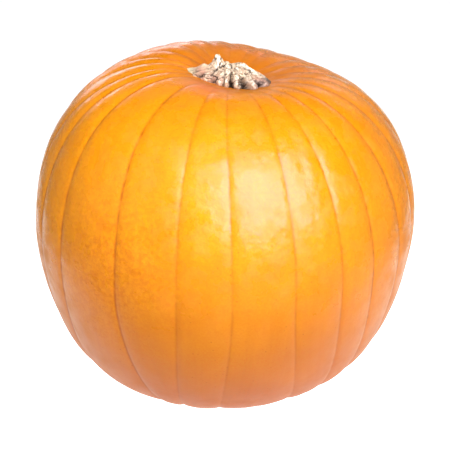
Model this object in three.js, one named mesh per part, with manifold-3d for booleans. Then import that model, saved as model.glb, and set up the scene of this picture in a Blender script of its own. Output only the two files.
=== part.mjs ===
// A ripe orange field pumpkin, picked, with the dry stub left where its stem broke off.
// Millimetres, +Z up. The origin is the middle of the base, on the surface that it stands on.
// A bearing is an angle round the upright axis, in degrees: 0 is the front (-Y), 90 is +X.

import * as THREE from 'three';
import { mergeVertices } from 'three/addons/utils/BufferGeometryUtils.js';
import Module from 'manifold-3d';

// ---- Driving dimensions ---------------------------------------------------------------

// The fruit's outline, from the girth, its widest level, up to the crown and down to the base.
const GIRTH_RADIUS = 140;
const CROWN_RISE = 119.5;
const BASE_DROP = 123.5;
const CROWN_TAPER = { reach: 0.644, height: 1.03 }; // lower is squarer in the shoulder
const BASE_TAPER = { reach: 0.403, height: 1.18 };
const STEM_DIMPLE = { depth: 14.2, radius: 35, wider: 0.12, widerTowards: 32 };
const BODY_LEAN = -1.1; // the axis is this far towards +X at the crown, and as far to -X at the base
const STEM_LEAN = { x: 0.3, y: -2.5, spread: 60 }; // and the skin round the stem is drawn this far more
const DIMPLE_TILT = { slope: 0.14, spread: 45, highSide: -90 }; // the dimple's floor is not level
const BLOSSOM_HOLLOW = { depth: 6.3, radius: 42 };
const FLAT_SPOT_DEPTH = 0.9; // how much of the lowest skin is pressed flat

// No fruit grows evenly: slow swells round the axis, each a share of the height or radius.
const CROWN_SWELLS = [
  { order: 1, share: 0.072, bearing: -42 },
  { order: 2, share: 0.033, bearing: 51 },
  { order: 3, share: 0.02, bearing: 75 },
];
const GIRTH_SWELLS = [
  { order: 2, share: 0.029, bearing: -50 },
  { order: 3, share: 0.0055, bearing: 53 },
];

// The furrows between the ribs. Each runs from crown to base at its bearing on the girth,
// and sways by these angles where it nears the stem and the blossom end.
const FURROWS = [
  { bearing: -169, crown: 3, base: -2 },
  { bearing: -154, crown: 1, base: 3 },
  { bearing: -138, crown: -2, base: 1 },
  { bearing: -124, crown: 2, base: -4 },
  { bearing: -109, crown: 4, base: 2 },
  { bearing: -94, crown: 1, base: -3 },
  { bearing: -80, crown: 2, base: 2 },
  { bearing: -66, crown: -3, base: -1 },
  { bearing: -52, crown: -4.3, base: -5.4 },
  { bearing: -31, crown: -4.3, base: 8 },
  { bearing: -13.3, crown: -1, base: -4.7 },
  { bearing: 2, crown: -2.7, base: -5.4 },
  { bearing: 20, crown: -1.1, base: 8.9 },
  { bearing: 35.3, crown: -2.9, base: 8 },
  { bearing: 48, crown: -3.8, base: 8 },
  { bearing: 63, crown: -7.6, base: 3 },
  { bearing: 77, crown: -7, base: 3 },
  { bearing: 91, crown: -5, base: -2 },
  { bearing: 106, crown: -4, base: 2 },
  { bearing: 120, crown: -1, base: 4 },
  { bearing: 136, crown: -3, base: -1 },
  { bearing: 150, crown: 2, base: 3 },
  { bearing: 164, crown: -1, base: -3 },
  { bearing: 178, crown: 1, base: 2 },
];
const SWAY_ONSET = { crown: 2, base: 1.7 }; // a higher power keeps the sway nearer to the end
const RIB_ROUNDING = { sides: 0.9, shoulder: 2 }; // how far a furrow's edge lies inside the rib's crest
const CREASE_DEPTH = 0.9; // the narrow crease along the middle of a furrow
const CREASE_HALF_WIDTH = 0.14; // as a share of a rib's width
const FURROW_ENDS = { start: 8, full: 42 }; // distances from the axis where furrows fade in

// The stub: a short neck, broken off ragged, on roots that spread over the dimple's skin.
// Each root runs out on its bearing until it ends at its reach.
const ROOTS = [
  { bearing: -172, reach: 18 },
  { bearing: -146, reach: 20 },
  { bearing: -119, reach: 24 },
  { bearing: -88, reach: 28.5 },
  { bearing: -64, reach: 27 },
  { bearing: -46, reach: 20.5 },
  { bearing: -27, reach: 16.5 },
  { bearing: -6, reach: 15 },
  { bearing: 14, reach: 18.5 },
  { bearing: 34, reach: 30 },
  { bearing: 57, reach: 32 },
  { bearing: 81, reach: 29.5 },
  { bearing: 108, reach: 24 },
  { bearing: 134, reach: 20 },
  { bearing: 161, reach: 18 },
];
const ROOT_GAP = { inset: 0.14, depth: 2.6 }; // between two roots: share of the reach, and millimetres
const ROOT_END = 2.4; // how thick a root still is close to its end
const NECK_SHARE = 0.42; // the neck's edge, as a share of the reach
const NECK_RISE = 12.5; // from the skin to the neck's edge
const FOOT_SINK = 7; // how deep the roots are let into the skin before they are trimmed to it
const STUB_GAP = 0.3;
// The splintered top: points that stand above or below the neck's edge, from the stub's middle.
const SPLINTERS = [
  { x: -7.5, y: 1, rise: 7.5, spread: 6 },
  { x: 8, y: 1, rise: 2.6, spread: 7 },
  { x: 1, y: -5, rise: -2.5, spread: 4 },
  { x: 2, y: 7, rise: -2, spread: 5 },
];

// How finely the surfaces are cut into faces.
const COLUMNS_ACROSS_RIB = [0, CREASE_HALF_WIDTH, 0.38, 0.62, 1 - CREASE_HALF_WIDTH];
const FRUIT_ROWS = 40;
const COLUMNS_ACROSS_ROOT = [0, 0.2, 0.38, 0.5, 0.62, 0.8];
const ROOT_ROWS = 10;
const TOP_ROWS = 6;

// ---- Shared helpers -------------------------------------------------------------------

const { clamp, degToRad, lerp, smoothstep } = THREE.MathUtils;

// The sum of slow swells at a bearing.
function swell(swells, bearing) {
  return swells.reduce(
    (sum, s) => sum + s.share * Math.cos(s.order * degToRad(bearing - s.bearing)), 0);
}

// A bell curve: 1 at the middle, falling to 1/e at the spread.
function bell(distance, spread) {
  return Math.exp(-((distance / spread) ** 2));
}

// The angle from one bearing to another, the short way round.
function turn(from, to) {
  return THREE.MathUtils.euclideanModulo(to - from + 180, 360) - 180;
}

// A point at a distance from the axis, on a bearing, at a height.
function atBearing(reach, bearing, height) {
  const angle = degToRad(bearing);
  return new THREE.Vector3(reach * Math.sin(angle), -reach * Math.cos(angle), height);
}

// ---- The fruit ------------------------------------------------------------------------

// Heights here are from the girth. The crown's height before any swell, at a share of the girth.
function evenCrown(share) {
  return CROWN_RISE * (1 - share ** (2 / CROWN_TAPER.reach)) ** (CROWN_TAPER.height / 2);
}

// The crown's height at a share of the girth and a bearing, with its swells and its dimple.
function crownHeight(share, bearing) {
  const reach = share * GIRTH_RADIUS;
  const wider = Math.cos(degToRad(bearing - STEM_DIMPLE.widerTowards));
  const dimple = bell(reach, STEM_DIMPLE.radius * (1 + STEM_DIMPLE.wider * wider));
  const highSide = Math.cos(degToRad(bearing - DIMPLE_TILT.highSide));
  const tilt = DIMPLE_TILT.slope * reach * highSide * bell(reach, DIMPLE_TILT.spread);
  const uneven = 1 + share * swell(CROWN_SWELLS, bearing);
  return evenCrown(share) * uneven - STEM_DIMPLE.depth * dimple + tilt;
}

// The base's height at a share of the girth.
function baseHeight(share) {
  const drop = BASE_DROP * (1 - share ** (2 / BASE_TAPER.reach)) ** (BASE_TAPER.height / 2);
  return BLOSSOM_HOLLOW.depth * bell(share * GIRTH_RADIUS, BLOSSOM_HOLLOW.radius) - drop;
}

// Half of the fruit's outline from the blossom end to the stem, with no swells.
// X is the distance from the axis and Y is the height from the girth.
class FruitOutline extends THREE.Curve {
  constructor() {
    super();
    this.arcLengthDivisions = 4000;
  }

  getPoint(t) {
    const latitude = Math.PI * (t - 0.5);
    const below = latitude < 0;
    const share = clamp(Math.cos(latitude), 0, 1) ** (below ? BASE_TAPER : CROWN_TAPER).reach;
    const dimple = STEM_DIMPLE.depth * bell(share * GIRTH_RADIUS, STEM_DIMPLE.radius);
    const height = below ? baseHeight(share) : evenCrown(share) - dimple;
    return new THREE.Vector2(share * GIRTH_RADIUS, height);
  }
}

// A furrow's bearing at a height from the girth.
function furrowBearing(furrow, height) {
  const up = clamp(height / CROWN_RISE, 0, 1);
  const down = clamp(-height / BASE_DROP, 0, 1);
  const sway = furrow.crown * up ** SWAY_ONSET.crown + furrow.base * down ** SWAY_ONSET.base;
  return furrow.bearing + sway;
}

// How far the skin lies inside the crest of its rib. Across is 0 at one furrow and 1 at the next.
function furrowDepth(across, reach, height) {
  const shoulder = smoothstep(height, 0.3 * CROWN_RISE, 0.9 * CROWN_RISE);
  const rounding = lerp(RIB_ROUNDING.sides, RIB_ROUNDING.shoulder, shoulder);
  const fromFurrow = Math.min(across, 1 - across);
  const crease = CREASE_DEPTH * Math.max(0, 1 - fromFurrow / CREASE_HALF_WIDTH);
  const fade = smoothstep(reach, FURROW_ENDS.start, FURROW_ENDS.full);
  return fade * (rounding * (1 - 4 * across * (1 - across)) + crease);
}

// The way out of the skin in the outline's plane: [outward, upward].
function outlineNormal(outline, row) {
  const before = outline[Math.max(row - 1, 0)];
  const after = outline[Math.min(row + 1, outline.length - 1)];
  return new THREE.Vector2(after.y - before.y, before.x - after.x).normalize();
}

// The fruit's skin: a lathed outline whose columns are drawn along the furrows.
function fruitGeometry() {
  const outline = new FruitOutline().getSpacedPoints(FRUIT_ROWS);
  const lowest = Math.min(...outline.map((point) => point.y)) + FLAT_SPOT_DEPTH;
  const columns = FURROWS.length * COLUMNS_ACROSS_RIB.length;
  const geometry = new THREE.LatheGeometry(outline, columns);
  const position = geometry.attributes.position;

  for (let i = 0; i < position.count; i++) {
    const row = i % outline.length;
    const column = Math.floor(i / outline.length) % columns;
    const rib = Math.floor(column / COLUMNS_ACROSS_RIB.length);
    const across = COLUMNS_ACROSS_RIB[column % COLUMNS_ACROSS_RIB.length];
    const { x: reach, y: height } = outline[row];

    const from = furrowBearing(FURROWS[rib], height);
    const to = furrowBearing(FURROWS[(rib + 1) % FURROWS.length], height);
    const bearing = from + across * turn(from, to);

    const depth = furrowDepth(across, reach, height);
    const normal = outlineNormal(outline, row);
    const girth = 1 + swell(GIRTH_SWELLS, bearing);
    const level = height > 0 ? crownHeight(reach / GIRTH_RADIUS, bearing) : height;
    const skin = atBearing(
      reach * girth - depth * normal.x,
      bearing,
      Math.max(level - depth * normal.y, lowest),
    );
    const drawn = height > 0 ? bell(reach, STEM_LEAN.spread) : 0;
    skin.x += BODY_LEAN * height / CROWN_RISE + STEM_LEAN.x * drawn;
    skin.y += STEM_LEAN.y * drawn;
    position.setXYZ(i, skin.x, skin.y, skin.z);
  }
  return geometry.translate(0, 0, -lowest);
}

// ---- The stub -------------------------------------------------------------------------

// Where a stub's column stands between two roots: its bearing, how far the foot reaches there,
// and how deep it lies in the gap between them, from 0 on a root's back to 1.
function rootColumn(column) {
  const root = Math.floor(column / COLUMNS_ACROSS_ROOT.length);
  const across = COLUMNS_ACROSS_ROOT[column % COLUMNS_ACROSS_ROOT.length];
  const from = ROOTS[root];
  const to = ROOTS[(root + 1) % ROOTS.length];
  const bearing = from.bearing + across * turn(from.bearing, to.bearing);
  const gap = 1 - Math.abs(Math.cos(Math.PI * across));
  const reach = lerp(from.reach, to.reach, smoothstep(across, 0, 1)) * (1 - ROOT_GAP.inset * gap);
  return { bearing, reach, gap };
}

// The stub's side as [share of the reach, rise]: the hidden foot, the roots' backs, the broken top.
function stubProfile() {
  const foot = [[0, -FOOT_SINK], [0.5, -FOOT_SINK], [0.97, -FOOT_SINK], [1, 0]];
  const backs = [];
  for (let row = 1; row <= ROOT_ROWS; row++) {
    const along = row / ROOT_ROWS;
    const share = lerp(0.985, NECK_SHARE, along);
    backs.push([share, lerp(ROOT_END * Math.sqrt(Math.min(1, 3 * along)), NECK_RISE, along)]);
  }
  const top = [];
  for (let row = 1; row <= TOP_ROWS; row++) {
    top.push([NECK_SHARE * (1 - row / TOP_ROWS), NECK_RISE]);
  }
  return [...foot, ...backs, ...top].map(([share, rise]) => new THREE.Vector2(share, rise));
}

// How far the splinters lift the break at a point.
function splinterRise(point) {
  return SPLINTERS.reduce((sum, splinter) => {
    const away = Math.hypot(point.x - splinter.x, point.y - splinter.y);
    return sum + splinter.rise * bell(away, splinter.spread);
  }, 0);
}

// The stub before it is trimmed to the skin, standing round the axis.
// The dimple's floor is at dimpleFloor, and the skin round it is the crown's.
function stubGeometry(dimpleFloor) {
  const profile = stubProfile();
  const columns = ROOTS.length * COLUMNS_ACROSS_ROOT.length;
  const geometry = new THREE.LatheGeometry(profile, columns);
  const position = geometry.attributes.position;

  for (let i = 0; i < position.count; i++) {
    const { x: share, y: rise } = profile[i % profile.length];
    const { bearing, reach, gap } = rootColumn(Math.floor(i / profile.length) % columns);
    const point = atBearing(share * reach, bearing, dimpleFloor + rise);

    // The roots follow the slope of the skin, and the neck's edge is level.
    const slope = crownHeight(share * reach / GIRTH_RADIUS, bearing) - crownHeight(0, 0);
    const level = smoothstep(rise, 0, NECK_RISE) * (1 - smoothstep(share, 0.5 * NECK_SHARE, 1));
    point.z += slope * (1 - level);
    point.z -= ROOT_GAP.depth * gap * smoothstep(rise, 0, ROOT_END) * smoothstep(share, 0.2, 0.6);
    point.z += splinterRise(point) * smoothstep(rise, 0.4 * NECK_RISE, NECK_RISE);
    position.setXYZ(i, point.x, point.y, point.z);
  }
  return geometry;
}

// ---- Joining and cutting --------------------------------------------------------------

const wasm = await Module();
wasm.setup();

// A closed geometry as a solid that can be cut.
function solidFrom(geometry) {
  const bare = geometry.clone().deleteAttribute('normal').deleteAttribute('uv');
  const merged = mergeVertices(bare, 1e-3);
  return new wasm.Manifold(new wasm.Mesh({
    numProp: 3,
    vertProperties: new Float32Array(merged.attributes.position.array),
    triVerts: new Uint32Array(merged.index.array),
  }));
}

// A cut solid as a geometry again.
function geometryFrom(solid) {
  const mesh = solid.getMesh();
  const geometry = new THREE.BufferGeometry();
  geometry.setAttribute('position', new THREE.BufferAttribute(mesh.vertProperties, 3));
  geometry.setIndex(new THREE.BufferAttribute(mesh.triVerts, 1));
  geometry.computeVertexNormals();
  return geometry;
}

// ---- The pumpkin ----------------------------------------------------------------------

const rind = new THREE.MeshStandardMaterial({ color: '#f0941e', roughness: 0.42, metalness: 0 });
const corkyStem = new THREE.MeshStandardMaterial({ color: '#d9c6a8', roughness: 0.9, metalness: 0 });

const fruitSkin = fruitGeometry();
fruitSkin.computeBoundingBox();
const middle = fruitSkin.boundingBox.getCenter(new THREE.Vector3());

const fruit = new THREE.Mesh(fruitSkin, rind);
fruit.name = 'fruit';

// The fruit's last point on the axis is the floor of its dimple, where the stub stands.
const crownPole = new THREE.Vector3().fromBufferAttribute(fruitSkin.attributes.position, FRUIT_ROWS);
const standing = stubGeometry(crownPole.z).translate(crownPole.x, crownPole.y, 0);
const stubSolid = solidFrom(standing).subtract(solidFrom(fruitSkin));
const stub = new THREE.Mesh(geometryFrom(stubSolid), corkyStem);
stub.name = 'stem_stub';
stub.position.z = STUB_GAP;

const pumpkin = new THREE.Group();
pumpkin.name = 'pumpkin';
pumpkin.add(fruit, stub);
pumpkin.position.set(-middle.x, -middle.y, 0);

export default pumpkin;
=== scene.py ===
"""A ripe orange field pumpkin with the dry stub left where its stem broke off.

Everything is in metres, +Z up. A bearing is an angle round the upright axis, in degrees:
0 is the front (-Y) and 90 is +X.
"""

import math

import bpy
import numpy as np
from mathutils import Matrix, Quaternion, Vector, noise
from mathutils.bvhtree import BVHTree


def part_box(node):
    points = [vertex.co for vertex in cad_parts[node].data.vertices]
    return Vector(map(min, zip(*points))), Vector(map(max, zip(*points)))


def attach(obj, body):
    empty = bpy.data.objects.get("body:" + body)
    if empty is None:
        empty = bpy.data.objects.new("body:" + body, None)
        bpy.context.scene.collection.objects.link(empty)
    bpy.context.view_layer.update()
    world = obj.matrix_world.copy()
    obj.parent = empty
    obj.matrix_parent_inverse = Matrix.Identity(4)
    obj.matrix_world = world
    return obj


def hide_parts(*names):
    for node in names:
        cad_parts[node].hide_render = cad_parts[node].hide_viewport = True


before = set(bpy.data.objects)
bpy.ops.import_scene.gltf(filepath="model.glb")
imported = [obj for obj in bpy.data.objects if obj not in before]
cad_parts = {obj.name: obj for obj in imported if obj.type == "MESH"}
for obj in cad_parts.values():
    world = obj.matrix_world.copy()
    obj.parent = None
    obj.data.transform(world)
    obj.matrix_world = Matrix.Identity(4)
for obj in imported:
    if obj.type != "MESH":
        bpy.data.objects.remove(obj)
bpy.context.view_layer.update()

MM = 0.001

# ---- The fruit's form -----------------------------------------------------------------

GIRTH_RADIUS = 140 * MM
CROWN_RISE = 119.5 * MM
BASE_DROP = 123.5 * MM
CROWN_TAPER = {"reach": 0.644, "height": 1.03}  # lower is squarer in the shoulder
BASE_TAPER = {"reach": 0.403, "height": 1.18}
STEM_DIMPLE = {"depth": 14.2 * MM, "radius": 35 * MM, "wider": 0.12, "wider_towards": 32}
BODY_LEAN = -1.1 * MM
STEM_LEAN = {"x": 0.3 * MM, "y": -2.5 * MM, "spread": 60 * MM}
DIMPLE_TILT = {"slope": 0.14, "spread": 45 * MM, "high_side": -90}
BLOSSOM_HOLLOW = {"depth": 6.3 * MM, "radius": 42 * MM}
FLAT_SPOT_DEPTH = 0.9 * MM

# Slow swells round the axis: (waves in a turn, share of the height or radius, bearing).
CROWN_SWELLS = [(1, 0.072, -42), (2, 0.033, 51), (3, 0.02, 75)]
GIRTH_SWELLS = [(2, 0.029, -50), (3, 0.0055, 53)]

# The furrows: (bearing on the girth, sway at the crown, sway at the base, how dark its painted
# shade shows).
FURROWS = [
    (-169, 3, -2, 0.6), (-154, 1, 3, 0.8), (-138, -2, 1, 0.6), (-124, 2, -4, 0.9),
    (-109, 4, 2, 0.7), (-94, 1, -3, 0.8), (-80, 2, 2, 0.8), (-66, -3, -1, 0.8),
    (-52, -4.3, -5.4, 1.0), (-31, -4.3, 8, 1.0), (-13.3, -1, -4.7, 0.5), (2, -2.7, -5.4, 0.45),
    (20, -1.1, 8.9, 0.5), (35.3, -2.9, 8, 0.55), (48, -3.8, 8, 0.75), (63, -7.6, 3, 0.9),
    (77, -7, 3, 0.8), (91, -5, -2, 0.7), (106, -4, 2, 0.8), (120, -1, 4, 0.6),
    (136, -3, -1, 0.9), (150, 2, 3, 0.6), (164, -1, -3, 0.8), (178, 1, 2, 0.7),
]
SWAY_ONSET = {"crown": 2, "base": 1.7}
RIB_ROUNDING = {"sides": 1.0 * MM, "shoulder": 0.45 * MM}
SHOULDER = {"starts": 0.3, "full": 0.9}  # as shares of the crown's rise
# The ribs stand out more on the left shoulder, and their furrows run further up.
FLUTED_SHOULDER = {"more": 1.2 * MM, "bearing": -98, "half_width": 34, "furrows_up": 0.35}
SOFT_FOLDS = {"more": 0.1 * MM, "wider": 1.2, "paler": 0.75}  # behind the stem
CREASE_DEPTH = 0.34 * MM
CREASE_SPREAD = 2.3 * MM
FURROW_ENDS = {"start": 10 * MM, "full_in_front": 72 * MM, "full_behind": 48 * MM}
# Shallow valleys along the middle of a few ribs: (the furrow to the rib's left, how deep).
RIB_VALLEYS = {-52: 0.12 * MM, -31: 0.22 * MM, 2: 0.3 * MM, 20: 0.2 * MM, 63: 0.15 * MM}
RIB_VALLEY_SPREAD = 3 * MM

# Where the skin's columns of points stand in a rib, from one furrow to the next: close
# together beside the furrows, where the skin bends sharply.
COLUMNS_IN_RIB = [0, 0.02, 0.045, 0.075, 0.115, 0.165, 0.225, 0.3, 0.385, 0.46,
                  0.54, 0.615, 0.7, 0.775, 0.835, 0.885, 0.925, 0.955, 0.98, 0.992]
SKIN_ROWS = 200


def bell(distance, spread):
    """A bell curve: 1 at the middle, falling to 1/e at the spread."""
    return np.exp(-((distance / spread) ** 2))


def smoothstep(value, low, high):
    """0 below low, 1 above high, and a smooth rise between them."""
    t = np.clip((value - low) / (high - low), 0, 1)
    return t * t * (3 - 2 * t)


def around(bearing, at):
    """How far a bearing is from another, in degrees, the short way round."""
    return (bearing - at + 180) % 360 - 180


def swell(swells, bearing):
    """The sum of slow swells at a bearing."""
    return sum(share * np.cos(order * np.radians(bearing - at)) for order, share, at in swells)


def even_crown(share):
    """The crown's height over the girth with no dimple, at a share of the girth's radius."""
    squared = np.clip(1 - share ** (2 / CROWN_TAPER["reach"]), 0, 1)
    return CROWN_RISE * squared ** (CROWN_TAPER["height"] / 2)


def crown_height(share, bearing):
    """The crown's height over the girth with its swells and its dimple."""
    reach = share * GIRTH_RADIUS
    wider = np.cos(np.radians(bearing - STEM_DIMPLE["wider_towards"]))
    dimple = bell(reach, STEM_DIMPLE["radius"] * (1 + STEM_DIMPLE["wider"] * wider))
    high_side = np.cos(np.radians(bearing - DIMPLE_TILT["high_side"]))
    tilt = DIMPLE_TILT["slope"] * reach * high_side * bell(reach, DIMPLE_TILT["spread"])
    uneven = 1 + share * swell(CROWN_SWELLS, bearing)
    return even_crown(share) * uneven - STEM_DIMPLE["depth"] * dimple + tilt


def base_height(share):
    """The base's height over the girth, which is below zero."""
    squared = np.clip(1 - share ** (2 / BASE_TAPER["reach"]), 0, 1)
    drop = BASE_DROP * squared ** (BASE_TAPER["height"] / 2)
    return BLOSSOM_HOLLOW["depth"] * bell(share * GIRTH_RADIUS, BLOSSOM_HOLLOW["radius"]) - drop


OUTLINE_STEPS = 4001  # fine steps of latitude that the even ones are taken from


def outline_points(rows):
    """Half of the outline from the blossom end to the stem in even steps: reach, height, length."""
    latitude = np.radians(np.linspace(-90, 90, OUTLINE_STEPS))
    cosine = np.clip(np.cos(latitude), 0, 1)
    below = latitude < 0
    share = np.where(below, cosine ** BASE_TAPER["reach"], cosine ** CROWN_TAPER["reach"])
    dimple = STEM_DIMPLE["depth"] * bell(share * GIRTH_RADIUS, STEM_DIMPLE["radius"])
    height = np.where(below, base_height(share), even_crown(share) - dimple)
    reach = share * GIRTH_RADIUS
    steps = np.hypot(np.diff(reach), np.diff(height))
    length = np.concatenate([[0], np.cumsum(steps)])
    even = np.linspace(0, length[-1], rows + 1)
    return np.interp(even, length, reach), np.interp(even, length, height), even


def outline_normals(reach, height):
    """The way out of the skin along the outline: outward and upward parts."""
    rise = np.gradient(height)
    run = np.gradient(reach)
    size = np.hypot(rise, run)
    return rise / size, -run / size


def furrow_bearing(furrow, height):
    """A furrow's bearing at a height over the girth."""
    up = np.clip(height / CROWN_RISE, 0, 1)
    down = np.clip(-height / BASE_DROP, 0, 1)
    bearing, crown, base, _ = furrow
    return bearing + crown * up ** SWAY_ONSET["crown"] + base * down ** SWAY_ONSET["base"]


def fit_into(points, low, high):
    """Moves and scales points so that their box is the one between two corners."""
    old_low, old_high = points.min(axis=0), points.max(axis=0)
    scale = (np.array(high) - np.array(low)) / (old_high - old_low)
    return (points - old_low) * scale + np.array(low)


def noise_at(points, size, seed, octaves=3):
    """Soft noise from about -1 to 1, with hills of about a size."""
    shift = Vector((seed * 7.31, seed * 3.17, seed * 1.93))
    return np.array([
        noise.fractal(Vector(p) / size + shift, 1.0, 2.0, octaves, noise_basis="PERLIN_ORIGINAL")
        for p in points.tolist()])


def read_points(mesh):
    """A mesh's vertices as an array."""
    points = np.empty(len(mesh.vertices) * 3)
    mesh.vertices.foreach_get("co", points)
    return points.reshape(-1, 3)


def write_points(mesh, points):
    """Puts an array back as a mesh's vertices."""
    mesh.vertices.foreach_set("co", np.ascontiguousarray(points, dtype=float).ravel())
    mesh.update()


def add_values(mesh, name, values):
    """Keeps one value for each vertex under a name, for the materials."""
    mesh.attributes.new(name, "FLOAT", "POINT").data.foreach_set("value", np.asarray(values, float))


def add_places(mesh, name, places):
    """Keeps one place for each vertex under a name, for the materials."""
    flat = np.ascontiguousarray(places, dtype=float).ravel()
    mesh.attributes.new(name, "FLOAT_VECTOR", "POINT").data.foreach_set("vector", flat)


def deselect():
    """Lets go of everything, the CAD nodes too."""
    bpy.ops.object.select_all(action="DESELECT")


def smooth_over(piece):
    """Shades a finished piece smooth."""
    deselect()
    piece.select_set(True)
    bpy.context.view_layer.objects.active = piece
    bpy.ops.object.shade_smooth()


def make_fruit():
    """The fruit's skin: a ball of points drawn out into ribs from the blossom end to the stem."""
    deselect()
    columns = len(FURROWS) * len(COLUMNS_IN_RIB)
    bpy.ops.mesh.primitive_uv_sphere_add(segments=columns, ring_count=SKIN_ROWS, radius=1)
    skin = bpy.context.object
    skin.name = "fruit_skin"
    mesh = skin.data

    ball = read_points(mesh)
    row = np.rint((np.arcsin(np.clip(ball[:, 2], -1, 1)) / math.pi + 0.5) * SKIN_ROWS).astype(int)
    turn = np.degrees(np.arctan2(ball[:, 0], -ball[:, 1])) - FURROWS[0][0]
    column = np.rint(turn / 360 * columns).astype(int) % columns
    rib = column // len(COLUMNS_IN_RIB)
    across = np.array(COLUMNS_IN_RIB)[column % len(COLUMNS_IN_RIB)]

    outline = outline_points(SKIN_ROWS)
    reach, height, along = (line[row] for line in outline)
    outward, upward = (line[row] for line in outline_normals(*outline[:2]))

    bearings = np.array([furrow_bearing(furrow, height) for furrow in FURROWS])
    start = bearings[rib, np.arange(len(rib))]
    end = bearings[(rib + 1) % len(FURROWS), np.arange(len(rib))]
    width = (end - start) % 360
    bearing = start + across * width

    # How far the skin lies inside the crest of its rib.
    rib_width = np.radians(width) * np.maximum(reach, 1 * MM)
    from_furrow = np.minimum(across, 1 - across) * rib_width
    shoulder = smoothstep(height, SHOULDER["starts"] * CROWN_RISE, SHOULDER["full"] * CROWN_RISE)
    sides = RIB_ROUNDING["sides"]
    rounding = sides + shoulder * (RIB_ROUNDING["shoulder"] - sides)
    fluted = bell(around(bearing, FLUTED_SHOULDER["bearing"]), FLUTED_SHOULDER["half_width"])
    rounding = rounding + shoulder * fluted * FLUTED_SHOULDER["more"]
    behind = 0.5 - 0.5 * np.cos(np.radians(bearing))
    full = FURROW_ENDS["full_in_front"] * (1 - behind) + FURROW_ENDS["full_behind"] * behind
    full = full * (1 - FLUTED_SHOULDER["furrows_up"] * fluted)
    fade = smoothstep(reach, FURROW_ENDS["start"], full)
    soft_folds = shoulder * behind
    rounding = rounding + soft_folds * SOFT_FOLDS["more"]
    spread = CREASE_SPREAD * (1 + SOFT_FOLDS["wider"] * soft_folds)
    crease = CREASE_DEPTH * bell(from_furrow, spread)
    valleys = np.array([RIB_VALLEYS.get(furrow[0], 0) for furrow in FURROWS])[rib]
    crease = crease + valleys * bell((across - 0.5) * rib_width, RIB_VALLEY_SPREAD)
    depth = fade * (rounding * (1 - 4 * across * (1 - across)) + crease)

    girth = 1 + swell(GIRTH_SWELLS, bearing)
    crown = crown_height(reach / GIRTH_RADIUS, bearing)
    level = np.where(height > 0, crown, height)
    out = reach * girth - depth * outward
    lowest = outline[1].min() + FLAT_SPOT_DEPTH
    drawn = np.where(height > 0, bell(reach, STEM_LEAN["spread"]), 0)
    lean = BODY_LEAN * height / CROWN_RISE
    points = np.stack([
        out * np.sin(np.radians(bearing)) + lean + STEM_LEAN["x"] * drawn,
        -out * np.cos(np.radians(bearing)) + STEM_LEAN["y"] * drawn,
        np.maximum(level - depth * upward, lowest),
    ], axis=1)
    write_points(mesh, fit_into(points, *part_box("fruit")))

    # Places on the skin as if it were unrolled along its ribs, and how near its furrow a point is.
    turn_on_girth = np.radians(np.array([furrow[0] for furrow in FURROWS])[rib] + across * width)
    unrolled = [GIRTH_RADIUS * np.sin(turn_on_girth), -GIRTH_RADIUS * np.cos(turn_on_girth), along]
    add_places(mesh, "along_ribs", np.stack(unrolled, axis=1))
    add_values(mesh, "from_furrow", from_furrow)
    # How dark each furrow's painted shade line is.
    darkness = np.array([furrow[3] for furrow in FURROWS])
    nearer = np.where(across < 0.5, rib, (rib + 1) % len(FURROWS))
    paler = 1 - SOFT_FOLDS["paler"] * soft_folds
    add_values(mesh, "furrow_shade", darkness[nearer] * fade * paler)

    smooth_over(skin)
    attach(skin, "root")
    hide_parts("fruit")
    return skin


# ---- The stub of the stem --------------------------------------------------------------

# The roots that spread over the skin: (bearing, reach in mm).
ROOTS = [
    (-172, 18), (-146, 17.5), (-119, 19), (-88, 28.5), (-64, 27), (-46, 20.5), (-27, 16.5),
    (-6, 15), (14, 18.5), (34, 30), (57, 32), (81, 29.5), (108, 24), (134, 20), (161, 18),
]
ROOT_END = 2.4  # how thick a root's tip is, in mm
NECK_SHARE = 0.42  # where the neck stands, as a share of the reach
NECK_RISE = 12.5  # in mm
# Where the flank falls more hollow from the neck: (bearing, half width, how much).
HOLLOW_FLANKS = [(-112, 40, 1.1), (88, 34, 0.5)]
FOOT = {"starts": 0.7, "full": 0.88, "varies": 0.1}  # where the toes are, by share of the reach
# How far toes reach out, gaps cut in and the edge varies, as shares of the reach.
EDGE = {"toes_out": 0.05, "pits_in": 0.055, "varies": 0.03}
PIT_WALLS = (0.2, 0.8)  # a gap's sides lie where its bell is between these
WANDER = {"by": 0.7, "size": 2.5}  # how far a crack's line strays, and how often, in mm
# Points of the broken top over or under the neck's edge, in mm: (x, y, rise, spread).
SPLINTERS = [(-7.7, 1, 7.4, 3.6), (5, 1, 1.7, 6), (1, -5, -1.5, 4), (2, 7, -2, 5)]
# Knobs and hollows of the flank: the same, but they stand anywhere.
KNOBS = [
    (7.5, -8.5, 2.2, 3.0), (-5, -7, 1.2, 2.0), (13, -1, 1.2, 2.5), (16.5, 2.5, -1.8, 1.6),
    (-2, -2.5, 1.2, 2.0), (10, -1, 1.0, 2.0), (13, -3, 1.2, 2.0), (16, -5, 1.2, 2.0),
    (19, -7, 1.0, 2.0), (19.5, -1, 2.6, 2.8), (-17.5, -2, 3.6, 3.4), (-1.4, 2, 1.8, 2.2),
    (13.5, -1.5, -1.2, 1.8),
]
# Toes at the foot, where roots split as they dried: (bearing, half width in degrees, rise in mm).
TOES = [
    (-84, 15, 0.6), (-48, 5, 1.0), (-23, 5, 1.0), (-6, 2.6, 1.2), (16.5, 2.6, 1.4), (36, 3, 1.1),
    (56, 8, 0.8), (76, 7, 0.6), (95, 6, 0.8), (118, 8, 0.7), (140, 6, 0.8),
    (160, 7, 0.8), (-178, 7, 0.8), (-155, 7, 0.8), (-132, 7, 0.8), (-112, 6, 0.8),
]
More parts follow.
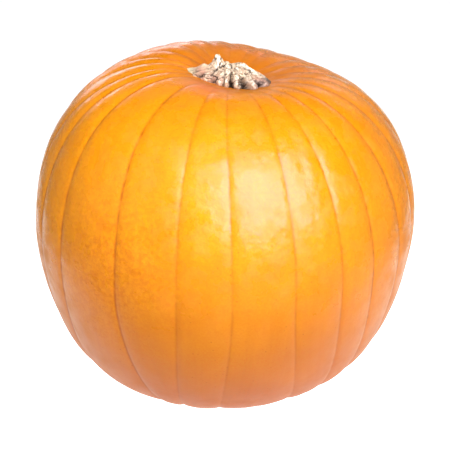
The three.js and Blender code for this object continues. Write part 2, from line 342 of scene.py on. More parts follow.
# Gaps under the flank, between the toes, also painted dark as shade: (bearing, half width, depth in
# mm).
PITS = [
    (-70, 3, 1.2), (-59, 3, 1.8), (-36, 6, 2.8), (-14, 2.5, 1.2), (6, 6.5, 3.4), (26, 5.5, 3.2),
    (46, 4, 1.8), (66, 3.5, 1.8), (86, 4, 2.4), (107, 4, 2.2), (129, 4, 2.4), (150, 4, 2.2),
    (171, 4, 2.4), (-166, 4, 2.2), (-143, 4, 2.2), (-122, 4, 2.2), (-101, 3, 1.5),
]
# Cracks and ridges of the torn wood: (places along it in mm, how deep or how high, half width).
DEEP_CRACKS = [
    ([(-2.2, -1.5), (-5.2, -4), (-6.6, -5.6), (-10, -8), (-12.4, -12)], 2.0, 0.75),
    ([(4.4, -4), (4.8, -6.5), (1.6, -8.6), (0.4, -12.5)], 1.8, 0.7),
    ([(8.5, -6.5), (12, -6.2), (15.5, -8.2), (20.5, -9.5)], 1.8, 0.7),
    ([(14.5, 0.5), (18, -1.2), (22, -0.8), (25, -3)], 1.4, 0.6),
    ([(-3.5, -6.5), (-2.6, -9), (-4.6, -12)], 1.4, 0.6),
]
# These ridges stand up and are also painted pale, partly as painted highlight.
PALE_RIDGES = [
    ([(8.6, -2), (11, -3.8), (15, -5.2), (19, -5.8)], 0.9, 1.3),
    ([(-8.5, 0.5), (-7, -2.5), (-8.4, -5.5)], 0.8, 1.5),
    ([(-1.5, -4), (0.6, -5.5), (-0.5, -8)], 0.9, 1.2),
    ([(5.5, -9.5), (6.4, -12), (5, -15)], 0.8, 0.7),
]
# Patterns of the bark: (size on the flank, as a share of its turn, and on the torn top in mm).
BARK_SIZES = {"plates": (0.24, 4.5), "strips": (0.11, 2.0), "fibres": (0.055, 1.1)}
BARK_SWEEP = {"turn": 34, "from": 0.7, "along": 0.8, "warp": 0.06}  # how the plates lie askew
TORN_GRAIN = {"x": 0.87, "y": 0.5, "drawn_out": 0.35, "flatter": 0.6}
TORN_EDGE = 0.14  # how far the flank's pattern and the top's run into each other
# How deep the bark's relief is, in mm, and how much of it the smooth left point keeps.
BARK = {"plates": 0.85, "strips": 0.7, "fibres": 0.3, "lumps": 0.35, "lifted": 0.5}
SMOOTH_POINT = {"bearing": -88, "half_width": 24, "smoother": 0.8, "sunk": 0.5}
# How dark the hollows are painted, as painted shade, and how pale the crests are, as pale fibre
# with a painted highlight.
HOLLOWS = {"cracks": 0.95, "strips": 0.7, "beside_toes": 0.3, "pits": 1 / 3.2, "torn": 0.6}
CRESTS = {"everywhere": 0.45, "fibres": 0.5, "toes": 0.3, "ridges": 0.6}
# Marks of the bark, a grey stain at the end and a purple-grey painted shade: (bearing, half width,
# where it starts and is full, how strong).
GREY_END = (72, 17, 0.77, 0.92, 1.0)
PURPLE_GREY_SHADE = (45, 9, 0.72, 0.86, 0.8)
# Pink bark, stronger down toward the foot and on two roots: partly the bark's own pink, partly
# painted shade toward the foot.
PINK_BARK_AND_FOOT_SHADE = {
    "starts": 0.45, "full": 0.85, "all_round": 0.2, "stronger": [(-58, 30, 1.0), (57, 12, 0.8)]}
STUB_COLUMNS = 440
STUB_ROWS = 160
STUB_SINK = 0.35  # how far the underside lies in the skin, in mm
STUB_MIDDLE = Vector((-0.3, 3.5, 0)) * MM  # from the middle of its box


def make_stub(skin):
    """The stub: a ball of points drawn into roots, toes and a broken top, then cracked."""
    deselect()
    bpy.ops.mesh.primitive_uv_sphere_add(segments=STUB_COLUMNS, ring_count=STUB_ROWS, radius=1)
    stub = bpy.context.object
    stub.name = "stem_stub_bark"
    mesh = stub.data
    ball = read_points(mesh)
    latitude = np.degrees(np.arcsin(np.clip(ball[:, 2], -1, 1)))
    bearing = np.degrees(np.arctan2(ball[:, 0], -ball[:, 1]))
    on_top = latitude >= 0
    share = 1 - np.abs(latitude) / 90

    bearings = np.array([root[0] for root in ROOTS] + [ROOTS[0][0] + 360.0])
    reaches = np.array([root[1] for root in ROOTS] + [ROOTS[0][1]], float)
    turned = (bearing - bearings[0]) % 360 + bearings[0]
    reach = np.interp(turned, bearings, reaches)
    round_stub = np.stack([
        np.sin(np.radians(bearing)), np.cos(np.radians(bearing)), 0 * bearing], axis=1)
    toes = sum(rise * bell(around(bearing, at), wide) for at, wide, rise in TOES)
    pits = sum(
        deep * smoothstep(bell(around(bearing, at), wide), *PIT_WALLS) for at, wide, deep in PITS)
    edge = reach * (1 + EDGE["toes_out"] * toes - EDGE["pits_in"] * pits)
    edge *= 1 + EDGE["varies"] * noise_at(round_stub, 0.12, 3)
    x = share * edge * round_stub[:, 0]
    y = -share * edge * round_stub[:, 1]
    plan = np.stack([x, y, 0 * x], axis=1)
    middle, slope = skin_under(skin, x, y)

    # The flank rises from the roots' tips to the neck, and lies on the skin's slope at its foot.
    along = np.clip((1 - share) / (1 - NECK_SHARE), 0, 1)
    along = along ** (1 + sum(
        more * bell(around(bearing, at), wide) for at, wide, more in HOLLOW_FLANKS))
    tip = ROOT_END * np.sqrt(np.clip(4 * along, 0, 1))
    rise = np.where(share > NECK_SHARE, tip + along * (NECK_RISE - ROOT_END), NECK_RISE)
    level = smoothstep(rise, 0, NECK_RISE) * (1 - smoothstep(share, 0.5 * NECK_SHARE, 1))
    height = rise + slope * (1 - level)
    up_the_flank = smoothstep(rise, 0.4 * NECK_RISE, NECK_RISE)
    for px, py, lift, spread in SPLINTERS:
        height += lift * bell(np.hypot(x - px, y - py), spread) * up_the_flank
    for px, py, lift, spread in KNOBS:
        height += lift * bell(np.hypot(x - px, y - py), spread) * smoothstep(rise, 0, 3)

    # Toes and the gaps between them, then cracks and ridges that wander as torn wood does.
    later = FOOT["varies"] * noise_at(round_stub, 0.25, 47, 2)
    foot = smoothstep(share, FOOT["starts"] + later, FOOT["full"] + 0.5 * later)
    foot = foot * smoothstep(rise, 0, 1.2)
    pits = pits * np.clip(0.65 + 1.8 * noise_at(plan, 5, 17, 2), 0.2, 1.4)
    height += toes * foot - pits * foot
    wander_x = x + WANDER["by"] * noise_at(plan, WANDER["size"], 41, 2)
    wander_y = y + WANDER["by"] * noise_at(plan, WANDER["size"], 43, 2)
    torn_open, standing = (
        sum(size * bell(from_line(wander_x, wander_y, line), wide) for line, size, wide in lines)
        for lines in (DEEP_CRACKS, PALE_RIDGES))
    height += (standing - torn_open) * smoothstep(rise, 0, 2.5)
    height = np.where(on_top & (share <= 0.999), height, slope - STUB_SINK)
    points = np.stack([x, y, height], axis=1)

    # Bark in long plates with cracks between them runs down the roots. Torn wood makes the top.
    write_points(mesh, points)
    normals = np.empty(len(mesh.vertices) * 3)
    mesh.vertex_normals.foreach_get("vector", normals)
    normals = normals.reshape(-1, 3)
    warp = BARK_SWEEP["warp"] * noise_at(points, 5, 10, 2)
    swept = np.radians(bearing + BARK_SWEEP["turn"] * (share - BARK_SWEEP["from"]))
    ring = np.stack([
        np.sin(swept) + warp, np.cos(swept), BARK_SWEEP["along"] * share + warp], axis=1)
    torn = np.stack([
        TORN_GRAIN["x"] * x + TORN_GRAIN["y"] * y,
        TORN_GRAIN["drawn_out"] * (TORN_GRAIN["x"] * y - TORN_GRAIN["y"] * x),
        TORN_GRAIN["flatter"] * height], axis=1)
    flank = smoothstep(share, NECK_SHARE - TORN_EDGE, NECK_SHARE + TORN_EDGE)

    def on_stub(pattern, name, seed):
        flank_size, top_size = BARK_SIZES[name]
        down_flank = pattern(ring, flank_size, seed)
        return down_flank * flank + pattern(torn, top_size, seed + 1) * (1 - flank)

    plates = on_stub(cracked, "plates", 11)
    strips = on_stub(cracked, "strips", 21)
    fibres = on_stub(ridges, "fibres", 31)
    lumps = noise_at(points, 4, 13, 3)
    smooth_left = bell(around(bearing, SMOOTH_POINT["bearing"]), SMOOTH_POINT["half_width"])
    smooth_left = smooth_left * smoothstep(share, 0.4, 0.62)
    rough = 1 - SMOOTH_POINT["smoother"] * smooth_left
    shown = smoothstep(rise, 0, 2.0) * on_top
    relief = rough * (
        BARK["plates"] * (plates - 1) + BARK["strips"] * (strips - 1) + BARK["fibres"] * fibres
        + BARK["lumps"] * lumps + BARK["lifted"]) - SMOOTH_POINT["sunk"] * smooth_left
    points = points + normals * (relief * shown)[:, None]

    # What the material has to know of each point.
    solid = plates * (1 - HOLLOWS["strips"] * (1 - strips))
    in_crack = HOLLOWS["cracks"] * rough * shown * (1 - solid)
    beside_toes = HOLLOWS["beside_toes"] * (1 - np.clip(toes, 0, 1))
    between_toes = foot * (beside_toes + HOLLOWS["pits"] * pits)
    in_tear = HOLLOWS["torn"] * torn_open * shown
    # Painted shade: dark in the cracks, the tears, the pits and round the toes.
    add_values(mesh, "hollow", np.clip(between_toes + in_crack + in_tear, 0, 1))
    # Crests: pale fibre, with a painted highlight on the toes and the standing ridges.
    crest = CRESTS["everywhere"] + CRESTS["fibres"] * fibres * rough
    crest = crest + CRESTS["toes"] * toes * foot + CRESTS["ridges"] * standing
    add_values(mesh, "crest", np.clip(crest, 0, 1))
    add_values(mesh, "down_root", share)
    add_values(mesh, "to_left", smooth_left)
    # The grey end is a stain; the purple-grey patch is painted shade.
    for name, (at, wide, starts, full, strong) in (
            ("purple_shade", PURPLE_GREY_SHADE), ("grey_end", GREY_END)):
        stain_and_shade = bell(around(bearing, at), wide) * smoothstep(share, starts, full)
        add_values(mesh, name, strong * stain_and_shade)
    # Pink of the bark, partly painted shade toward the foot.
    pink = PINK_BARK_AND_FOOT_SHADE["all_round"] + sum(
        strong * bell(around(bearing, at), wide) for at, wide, strong in PINK_BARK_AND_FOOT_SHADE["stronger"])
    pink = smoothstep(share, PINK_BARK_AND_FOOT_SHADE["starts"], PINK_BARK_AND_FOOT_SHADE["full"]) * np.clip(pink, 0, 1)
    add_values(mesh, "pink", pink)
    add_places(mesh, "along_fibres", ring * 20 * MM)

    points = points * MM + np.array(middle)
    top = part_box("stem_stub")[1][2]
    points[:, 2] = np.minimum(points[:, 2], top)
    write_points(mesh, points)
    smooth_over(stub)
    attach(stub, "root")
    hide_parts("stem_stub")
    return stub


def skin_under(skin, x, y):
    """The dimple's middle in metres, and the skin's height in mm over it under each point."""
    tree = BVHTree.FromPolygons(
        [v.co for v in skin.data.vertices], [p.vertices[:] for p in skin.data.polygons])
    low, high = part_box("stem_stub")
    middle = Vector(((low.x + high.x) / 2, (low.y + high.y) / 2, 0)) + STUB_MIDDLE
    above = high.z + 10 * MM
    down = Vector((0, 0, -1))

    def skin_height(px, py):
        return tree.ray_cast(Vector((middle.x + px * MM, middle.y + py * MM, above)), down)[0].z

    middle.z = skin_height(0, 0)
    heights = np.array([(skin_height(px, py) - middle.z) / MM for px, py in zip(x, y)])
    return middle, heights


def from_line(x, y, line):
    """How far points of a plan are from a line through several places."""
    away = np.full(x.shape, np.inf)
    for (ax, ay), (bx, by) in zip(line, line[1:]):
        dx, dy = bx - ax, by - ay
        share = np.clip(((x - ax) * dx + (y - ay) * dy) / (dx * dx + dy * dy), 0, 1)
        away = np.minimum(away, np.hypot(x - ax - share * dx, y - ay - share * dy))
    return away


def cracked(points, size, seed):
    """Plates of about a size with narrow cracks between them, from 1 on a plate down to 0."""
    return smoothstep(np.abs(noise_at(points, size, seed, 2)), 0.0, 0.1)


def ridges(points, size, seed):
    """Sharp crests of about a size with hollows between them, from 1 on a crest down to -1."""
    return 1 - 4 * np.abs(noise_at(points, size, seed, 2))


# ---- Places on the skin ---------------------------------------------------------------

# Patches of the rind, in mm: where each is, how far it reaches in full and where it ends, and
# its mottle: (size, detail, roughness) of the noise, and the share it gives over a span of it.
# A painted pool of light: the front under the crown is painted a yellower, lighter orange, as if
# more light fell there.
PAINTED_LIGHT_FRONT = {"place": (-25, -116, 168), "full": 30, "none": 150,
              "mottle": (25, 3.0, 0.5), "span": (0.3, 0.6), "share": (0.2, 0.55)}
# The skin that it lay on never saw the sun and is pale.
GROUND_SPOT = {"place": (8, 6, 2), "full": 18, "none": 52,
               "mottle": (14, 4.0, 0.5), "span": (0.3, 0.6), "share": (0.4, 0.9)}
# Behind the stem the skin is a deeper, darker orange.
BEHIND_STEM = {"place": (10, 40, 228), "full": 35, "none": 80,
               "mottle": (20, 3.0, 0.5), "span": (0.3, 0.6), "share": (0.2, 0.5)}
# Painted shade: the skin in the dimple round the stem is painted a little darker.
PAINTED_SHADE_ROUND_STEM = {"place": (0, -3, 228), "full": 30, "none": 88,
              "mottle": (9, 4.0, 0.5), "span": (0.3, 0.6), "share": (0.22, 0.45)}
# The stem leaned on the skin here and left a pinkish bruise.
BRUISE = {"place": (-13, -36, 236), "full": 5, "none": 24,
          "mottle": (6, 3.0, 0.5), "span": (0.3, 0.6), "share": (0.3, 0.8)}
# The skin rubbed on leaves here and is russet in small blotches. The patch is also painted shade,
# darkening the left side where less light falls.
RUSSET_AND_SHADE_SIDE = {"place": (-74, -115, 140), "full": 20, "none": 78,
               "mottle": (2.8, 5.0, 0.7), "span": (0.42, 0.62), "share": (0.08, 0.68)}

# Marks with no mottle of their own: the flower's scar, a corky spot, and where the wax is worn.
FLOWER_SCAR = {"place": (1, 0, 6), "full": 4, "none": 8}
CORKY_SPOT = {"place": (-71, -119, 160), "full": 0.6, "none": 2.2}
STEM_FOOT = {"place": (0, -3, 228), "full": 20, "none": 55}

# What changes with the height: (from and to in mm, the share at the first, at the second).
BY_HEIGHT = {
    # The first entry is painted shade with a painted pink floor reflection, strongest low down.
    "painted_shade_and_reflection_below": (15, 158, 0.73, 0.0), "dented": (70, 160, 0.2, 1.0), "duller": (30, 160, 0.24, 0.0)}

# The skin's relief: (size in mm, depth in mm, whether it is fainter on the lower skin). The
# finest real grain is under half a millimetre, and is drawn coarser here so that it shows.
SKIN_RELIEF = [(15, 0.85, True), (6, 0.25, True), (1.3, 0.035, False)]

# ---- Materials ------------------------------------------------------------------------


def hex_colour(code):
    """A linear colour from an sRGB hex code."""
    shares = [int(code[i:i + 2], 16) / 255 for i in (1, 3, 5)]
    linear = [s / 12.92 if s <= 0.04045 else ((s + 0.055) / 1.055) ** 2.4 for s in shares]
    return (*linear, 1)


def add_node(material, kind, settings=None, links=None):
    """Adds a node to a material, with its settings and the sockets that feed it."""
    node = material.node_tree.nodes.new(kind)
    for name, value in (settings or {}).items():
        if isinstance(name, str) and hasattr(node, name):
            setattr(node, name, value)
        else:
            node.inputs[name].default_value = value
    for name, socket in (links or {}).items():
        material.node_tree.links.new(socket, node.inputs[name])
    return node


def new_material(name):
    """An empty node material."""
    material = bpy.data.materials.new(name)
    material.use_nodes = True
    material.node_tree.nodes.clear()
    return material


def near(material, places, spot, most=1.0):
    """How near a spot on the skin a place is: its most within the spot, 0 where it ends."""
    away = add_node(
        material, "ShaderNodeVectorMath",
        {"operation": "DISTANCE", 1: [c * MM for c in spot["place"]]}, {0: places})
    return add_node(
        material, "ShaderNodeMapRange",
        {"From Min": spot["full"] * MM, "From Max": spot["none"] * MM,
         "To Min": most, "To Max": 0.0},
        {"Value": away.outputs["Value"]}).outputs["Result"]


def mottled(material, places, hills, span, share, within=None):
    """How much of a patchy finish shows, by soft noise with (size in mm, detail, roughness).

    Over a span of the noise the share goes from one value to another. It is cut down by the
    share that it lies within.
    """
    size, detail, roughness = hills
    soft = add_node(
        material, "ShaderNodeTexNoise",
        {"Scale": 1 / (size * MM), "Detail": detail, "Roughness": roughness},
        {"Vector": places})
    shown = add_node(
        material, "ShaderNodeMapRange",
        {"From Min": span[0], "From Max": span[1], "To Min": share[0], "To Max": share[1]},
        {"Value": soft.outputs["Fac"]}).outputs["Result"]
    if within is None:
        return shown
    return add_node(
        material, "ShaderNodeMath", {"operation": "MULTIPLY"}, {0: within, 1: shown}).outputs[0]


def patch(material, places, spot):
    """A mottled patch round a spot on the skin, as a share of its colour."""
    return mottled(
        material, places, spot["mottle"], spot["span"], spot["share"],
        within=near(material, places, spot))


def waxy_rind():
    """Ripe pumpkin rind: living skin under its own thin wax, never cut or polished.

    Its orange is deep and ripened unevenly, with painted shade low down and in the furrows and a
    painted pool of light at the front; its gloss is soft and broken by shallow dents.
    """
    rind = new_material("waxy_pumpkin_rind")
    on_object = add_node(rind, "ShaderNodeTexCoord").outputs["Object"]
    height = add_node(rind, "ShaderNodeSeparateXYZ", {}, {"Vector": on_object}).outputs["Z"]
    kept = {name: add_node(rind, "ShaderNodeAttribute", {"attribute_name": name})
            for name in ("along_ribs", "from_furrow", "furrow_shade")}
    on_ribs = kept["along_ribs"].outputs["Vector"]
    by_height = {}
    for name, (low, high, at_low, at_high) in BY_HEIGHT.items():
        by_height[name] = add_node(
            rind, "ShaderNodeMapRange",
            {"From Min": low * MM, "From Max": high * MM, "To Min": at_low, "To Max": at_high},
            {"Value": height}).outputs["Result"]

    # The ground colour ripened in patches, and in streaks drawn out along the ribs.
    patches = mottled(rind, on_object, (60, 4.0, 0.5), (0.35, 0.65), (0.0, 1.0))
    drawn_out = add_node(
        rind, "ShaderNodeVectorMath", {"operation": "MULTIPLY", 1: (1, 1, 0.06)}, {0: on_ribs})
    streaks = mottled(rind, drawn_out.outputs[0], (5, 4.0, 0.6), (0.45, 0.75), (0.0, 0.35))

    # The lower skin is painted darker and pinker: painted shade low down, where less light reaches,
    # and a painted pinkish reflection of the white floor.
    painted_shade_and_reflection_below = mottled(
        rind, on_object, (45, 3.0, 0.5), (0.3, 0.7), (0.8, 1.0), within=by_height["painted_shade_and_reflection_below"])

    # The furrow's line: painted shade, browner for about a millimetre into the furrow.
    line = add_node(
        rind, "ShaderNodeMapRange",
        {"From Min": 0.2 * MM, "From Max": 1.5 * MM, "To Min": 1.0, "To Max": 0.0},
        {"Value": kept["from_furrow"].outputs["Fac"]})
    line = add_node(
        rind, "ShaderNodeMath", {"operation": "MULTIPLY"},
        {0: line.outputs["Result"], 1: kept["furrow_shade"].outputs["Fac"]})
    line = mottled(
        rind, on_ribs, (7, 3.0, 0.5), (0.3, 0.6), (0.35, 1.0), within=line.outputs[0])

    # A fine grain all over, and breathing pores: brown specks about half a millimetre across.
    grain = mottled(rind, on_object, (1.5, 2.0, 0.5), (0.35, 0.7), (0.0, 0.32))
    pores = add_node(
        rind, "ShaderNodeTexVoronoi", {"Scale": 1 / (4.5 * MM)}, {"Vector": on_object})
    pores = add_node(
        rind, "ShaderNodeMapRange",
        {"From Min": 0.05, "From Max": 0.15, "To Min": 1.0, "To Max": 0.0},
        {"Value": pores.outputs["Distance"]})
    pores = mottled(
        rind, on_object, (9, 2.0, 0.5), (0.42, 0.62), (0.05, 0.8), within=pores.outputs["Result"])

    # The colours lie over one another in this order.
    colour = add_node(
        rind, "ShaderNodeMix",
        {"data_type": "RGBA", 6: hex_colour("#c5850d"), 7: hex_colour("#d08f15")},
        {0: patches}).outputs[2]
    for share, code in (
            (streaks, "#bd780b"),
            # painted pool of light on the front
            (patch(rind, on_object, PAINTED_LIGHT_FRONT), "#d89f1a"),
            # painted shade and painted floor reflection on the lower skin
            (painted_shade_and_reflection_below, "#894434"),
            (patch(rind, on_object, GROUND_SPOT), "#cf9a52"),
            (near(rind, on_object, FLOWER_SCAR), "#8f7558"),
            (patch(rind, on_object, BEHIND_STEM), "#b4680e"),
            # painted shade round the stem
            (patch(rind, on_object, PAINTED_SHADE_ROUND_STEM), "#a2680f"),
            (patch(rind, on_object, BRUISE), "#c9794a"),
            # painted shade along the furrows
            (line, "#a06112"),
            # russet blotches, and painted shade on the left side
            (patch(rind, on_object, RUSSET_AND_SHADE_SIDE), "#b0670c"),
            (near(rind, on_object, CORKY_SPOT), "#8a5424"),
            (grain, "#b8660f"),
            (pores, "#9c5a18")):
        colour = add_node(
            rind, "ShaderNodeMix", {"data_type": "RGBA", 7: hex_colour(code)},
            {0: share, 6: colour}).outputs[2]

    # The wax is satin. It is rubbed dull in patches, worn off round the stem, and duller below.
    satin = mottled(rind, on_object, (18, 3.0, 0.5), (0.3, 0.7), (0.17, 0.25))
    for duller in (
            mottled(rind, on_object, (11, 3.0, 0.5), (0.34, 0.56), (0.32, 0.0),
                    within=by_height["dented"]),
            near(rind, on_object, STEM_FOOT, most=0.4),
            by_height["duller"]):
        satin = add_node(
            rind, "ShaderNodeMath", {"operation": "ADD"}, {0: satin, 1: duller}).outputs[0]

    # The surface is never quite flat.
    normal = {}
    for size, depth, fainter_below in SKIN_RELIEF:
        hills = add_node(
            rind, "ShaderNodeTexNoise", {"Scale": 1 / (size * MM), "Detail": 2.0},
            {"Vector": on_object})
        strength = {"Strength": by_height["dented"]} if fainter_below else {}
        bump = add_node(
            rind, "ShaderNodeBump", {"Strength": 1.0, "Distance": depth * MM},
            {"Height": hills.outputs["Fac"], **strength, **normal})
        normal = {"Normal": bump.outputs["Normal"]}

    # Plant wax: its usual IOR. It takes a little pink where it is looked at straight.
    surface = add_node(
        rind, "ShaderNodeBsdfPrincipled",
        {"IOR": 1.5, "Specular IOR Level": 0.5, "Specular Tint": hex_colour("#ffb0f2"),
         "Subsurface Weight": 0.08, "Subsurface Scale": 3 * MM,
         "Subsurface Radius": (1.0, 0.45, 0.15)},
        {"Base Color": colour, "Roughness": satin, **normal})
    add_node(rind, "ShaderNodeOutputMaterial", {}, {"Surface": surface.outputs["BSDF"]})
    return rind


def corky_stem():
    """Pumpkin stem, dried to cork and broken off.

    Pale fibre on the crests with a painted highlight, pinkish bark with painted shade toward the
    foot, dark gaps of painted shade, a purple-grey painted shade, and no gloss at all.
    """
    cork = new_material("dry_corky_stem")
    on_object = add_node(cork, "ShaderNodeTexCoord").outputs["Object"]
    along_fibres = add_node(
        cork, "ShaderNodeAttribute", {"attribute_name": "along_fibres"}).outputs["Vector"]
    kept = {name: add_node(cork, "ShaderNodeAttribute", {"attribute_name": name}).outputs["Fac"]
            for name in ("hollow", "crest", "down_root", "to_left", "purple_shade", "grey_end", "pink")}

    # Fibres not quite a millimetre apart, fainter on the smooth point to the left.
    fibres = add_node(
        cork, "ShaderNodeTexNoise", {"Scale": 1 / (0.9 * MM), "Detail": 3.0, "Roughness": 0.6},
        {"Vector": along_fibres}).outputs["Fac"]
    shares = {}
    for name, value, low, high, at_low, at_high in (
            ("crests", kept["crest"], 0.5, 1.0, 0.0, 1.0),
            ("point", kept["down_root"], 0.75, 1.0, 0.0, 1.0),
            ("streaks", fibres, 0.5, 0.68, 0.0, 0.5),
            ("fainter", kept["to_left"], 0.0, 1.0, 1.0, 0.2)):
        shares[name] = add_node(
            cork, "ShaderNodeMapRange",
            {"From Min": low, "From Max": high, "To Min": at_low, "To Max": at_high},
            {"Value": value}).outputs["Result"]
    greenish, streaked = (
        add_node(
            cork, "ShaderNodeMath", {"operation": "MULTIPLY"}, {0: first, 1: second}).outputs[0]
        for first, second in (
            (kept["to_left"], shares["point"]), (shares["streaks"], shares["fainter"])))
    pink = mottled(
        cork, on_object, (6, 2.0, 0.5), (0.35, 0.6), (0.3, 1.0), within=kept["pink"])

    # The colours lie over one another in this order.
    patches = mottled(cork, on_object, (5, 4.0, 0.6), (0.35, 0.65), (0.0, 1.0))
    colour = add_node(
        cork, "ShaderNodeMix",
        {"data_type": "RGBA", 6: hex_colour("#b19a84"), 7: hex_colour("#c9b8a2")},
        {0: patches}).outputs[2]
    for share, code in (
            # pale fibre and painted highlight on the crests
            (shares["crests"], "#e6dfd1"),
            # pink bark, partly painted shade toward the foot
            (pink, "#b58a77"),
            (greenish, "#bfbda2"),
            (kept["grey_end"], "#5f564f"),
            # purple-grey painted shade
            (kept["purple_shade"], "#8d7a7c"),
            (streaked, "#7e6857"),
            # painted shade in the cracks and gaps
            (kept["hollow"], "#43362d")):
        colour = add_node(
            cork, "ShaderNodeMix", {"data_type": "RGBA", 7: hex_colour(code)},
            {0: share, 6: colour}).outputs[2]

    # The fibres stand up by a quarter of a millimetre, over the cork's own grain.
    grain = add_node(
        cork, "ShaderNodeTexNoise", {"Scale": 1 / (0.7 * MM), "Detail": 3.0},
        {"Vector": on_object}).outputs["Fac"]
    normal = {}
    for height, depth in ((fibres, 0.25), (grain, 0.15)):
        bump = add_node(
            cork, "ShaderNodeBump", {"Strength": 1.0, "Distance": depth * MM},
            {"Height": height, **normal})
        normal = {"Normal": bump.outputs["Normal"]}
    surface = add_node(
        cork, "ShaderNodeBsdfPrincipled", {"IOR": 1.4, "Roughness": 0.85},
        {"Base Color": colour, **normal})
    add_node(cork, "ShaderNodeOutputMaterial", {}, {"Surface": surface.outputs["BSDF"]})
    return cork


# ---- The studio -----------------------------------------------------------------------

CAMERA_HEIGHT_ANGLE = 0.5  # radians over the level
CAMERA_DISTANCE = 840 * MM
CAMERA_LENS = 89.03
CAMERA_ROLL = math.radians(1)
CAMERA_AIM = {"below": 10.2 * MM, "left": 1.4 * MM}  # of the form's centre
FORM_CENTRE = Vector((0.58 * MM, -0.59 * MM, 120.76 * MM))

# The floor's glow under the fruit and behind it, and far from it, in front and beside it.
FLOOR_GLOW = {"near": 1.3, "behind": 0.8, "round": 0.05, "far": 0.42}
FLOOR_RADIUS = 40
# The glowing part, in metres: its soft side and front edges, and how it widens to the back.
GLOWING = {"side": (0.34, 0.42), "front": (-0.2, -0.125), "widens": (0.3, 3.3), "by": 0.5}
GLOW_FADES = {"behind": (0.05, 0.4), "far": (0.5, 2.5)}

# The studio air: grey at the level, darker higher up: (how steeply up, brightness).
AIR = [(0.1, 0.45), (0.35, 0.1)]
GAMMA = 0.83


def plain_floor():
    """A matte white table top, lit from below under the fruit and behind it."""
    board = new_material("matte_white_board")
    places = add_node(board, "ShaderNodeTexCoord").outputs["Object"]
    split = add_node(board, "ShaderNodeSeparateXYZ", {}, {"Vector": places})
    to_side = add_node(board, "ShaderNodeMath", {"operation": "ABSOLUTE"}, {0: split.outputs["X"]})
    away = add_node(board, "ShaderNodeVectorMath", {"operation": "LENGTH"}, {0: places})
    backwards = split.outputs["Y"]
    distance = away.outputs["Value"]
    near_by, behind, round_it, far = (FLOOR_GLOW[n] for n in ("near", "behind", "round", "far"))
    shares = {}
    for name, value, (low, high), at_low, at_high in (
            ("wider", backwards, GLOWING["widens"], 0.0, GLOWING["by"]),
            ("front", backwards, GLOWING["front"], 0.0, 1.0),
            ("glow", backwards, GLOW_FADES["behind"], near_by, behind),
            ("round", distance, GLOW_FADES["far"], round_it, far)):
        shares[name] = add_node(
            board, "ShaderNodeMapRange",
            {"From Min": low, "From Max": high, "To Min": at_low, "To Max": at_high},
            {"Value": value}).outputs["Result"]
    beside = add_node(
        board, "ShaderNodeMath", {"operation": "SUBTRACT"},
        {0: to_side.outputs[0], 1: shares["wider"]})
    inner, outer = GLOWING["side"]
    side = add_node(
        board, "ShaderNodeMapRange",
        {"From Min": inner, "From Max": outer, "To Min": 1.0, "To Max": 0.0},
        {"Value": beside.outputs[0]})
    lit = add_node(
        board, "ShaderNodeMath", {"operation": "MULTIPLY"},
        {0: side.outputs["Result"], 1: shares["front"]})
    glow = add_node(
        board, "ShaderNodeMapRange", {"From Min": 0.0, "From Max": 1.0},
        {"Value": lit.outputs[0], "To Min": shares["round"], "To Max": shares["glow"]})
    surface = add_node(
        board, "ShaderNodeBsdfPrincipled",
        {"Base Color": hex_colour("#808080"), "Roughness": 0.9, "IOR": 1.3,
         "Emission Color": (1, 1, 1, 1)},
        {"Emission Strength": glow.outputs["Result"]})
    add_node(board, "ShaderNodeOutputMaterial", {}, {"Surface": surface.outputs["BSDF"]})
    return board


def set_camera():
    """A long lens, a little over the object's shoulder."""
    rise, run = math.sin(CAMERA_HEIGHT_ANGLE), math.cos(CAMERA_HEIGHT_ANGLE)
    place = FORM_CENTRE + CAMERA_DISTANCE * Vector((0, -run, rise))
    aim = FORM_CENTRE - CAMERA_AIM["below"] * Vector((0, rise, run))
    aim -= Vector((CAMERA_AIM["left"], 0, 0))
    data = bpy.data.cameras.new("camera")
    data.lens = CAMERA_LENS
    data.sensor_width = 36
    camera = bpy.data.objects.new("camera", data)
    bpy.context.scene.collection.objects.link(camera)
    camera.location = place
    camera.rotation_mode = "QUATERNION"
    facing = (aim - place).to_track_quat("-Z", "Y")
    camera.rotation_quaternion = facing @ Quaternion((0, 0, 1), CAMERA_ROLL)
    bpy.context.scene.camera = camera


def soft_box(
        name, bearing, elevation, distance, width, height, radiance,
        colour="#ffffff", lights=True, shines=True):
    """A rectangular soft light facing the fruit, by the brightness of its face.

    It lights matte colour, shines in the wax, or does both.
    """
    b, e = math.radians(bearing), math.radians(elevation)
    away = Vector((math.sin(b) * math.cos(e), -math.cos(b) * math.cos(e), math.sin(e)))
    data = bpy.data.lights.new(name, "AREA")
    data.shape = "RECTANGLE"
    data.size = width
    data.size_y = height
    data.energy = radiance * math.pi * width * height
    data.color = hex_colour(colour)[:3]
    light = bpy.data.objects.new(name, data)
    light.visible_camera = False
    light.visible_diffuse = lights
    light.visible_glossy = shines
    bpy.context.scene.collection.objects.link(light)
    light.location = FORM_CENTRE + away * distance
    light.rotation_mode = "QUATERNION"
    light.rotation_quaternion = (-away).to_track_quat("-Z", "Y")


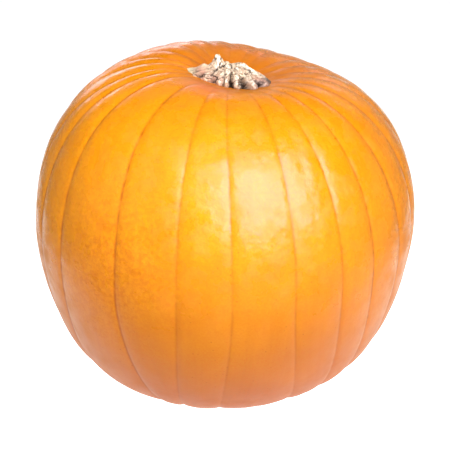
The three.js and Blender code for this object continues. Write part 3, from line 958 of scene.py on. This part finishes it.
def set_studio():
    """A white floor, a big window light from the right front, and soft light all round."""
    deselect()
    bpy.ops.mesh.primitive_circle_add(vertices=96, radius=FLOOR_RADIUS, fill_type="NGON")
    floor = bpy.context.object
    floor.name = "floor"
    floor.data.materials.append(plain_floor())

    air = bpy.data.worlds.new("studio_air")
    air.use_nodes = True
    air.node_tree.nodes.clear()
    direction = add_node(air, "ShaderNodeTexCoord").outputs["Generated"]
    upward = add_node(air, "ShaderNodeSeparateXYZ", {}, {"Vector": direction}).outputs["Z"]
    shade = add_node(air, "ShaderNodeValToRGB", {}, {"Fac": upward})
    for stop, (position, brightness) in zip(shade.color_ramp.elements, AIR):
        stop.position = position
        stop.color = (brightness, brightness, brightness, 1)
    background = add_node(air, "ShaderNodeBackground", {}, {"Color": shade.outputs["Color"]})
    add_node(air, "ShaderNodeOutputWorld", {}, {"Surface": background.outputs[0]})
    bpy.context.scene.world = air

    # Bearing and elevation in degrees, distance, width and height in metres, then brightness.
    soft_box("window", 25, 36, 1.6, 1.5, 1.75, 6.1, "#fff8f4", shines=False)
    soft_box("window_glare", 32, 35, 1.6, 1.35, 1.55, 10.5, "#f0ecff", lights=False)
    soft_box("left_fill", -20, 54, 1.8, 2.0, 1.6, 3.1, shines=False)
    soft_box("left_wall", -57, 24, 1.6, 1.3, 0.95, 0.5)
    soft_box("back_left", -161, 12, 2.2, 1.3, 0.65, 2.9, "#ffe6f0")
    soft_box("back_right", 150, 24, 2.2, 1.2, 0.5, 1.0, "#ffe6f0")
    soft_box("backdrop", 180, 24, 2.5, 3.0, 1.0, 0.8, "#ffd2ea", lights=False)
    soft_box("back_fill", 180, 8, 2.5, 3.0, 1.2, 1.5, "#fff4ee", shines=False)
    soft_box("overhead", 0, 88, 1.8, 1.2, 1.2, 0.15)

    view = bpy.context.scene.view_settings
    view.view_transform = "Standard"
    view.look = "None"
    view.exposure = 0
    view.gamma = GAMMA


# ---- The pumpkin ----------------------------------------------------------------------

fruit = make_fruit()
fruit.data.materials.append(waxy_rind())
stub = make_stub(fruit)
stub.data.materials.append(corky_stem())
set_studio()
set_camera()
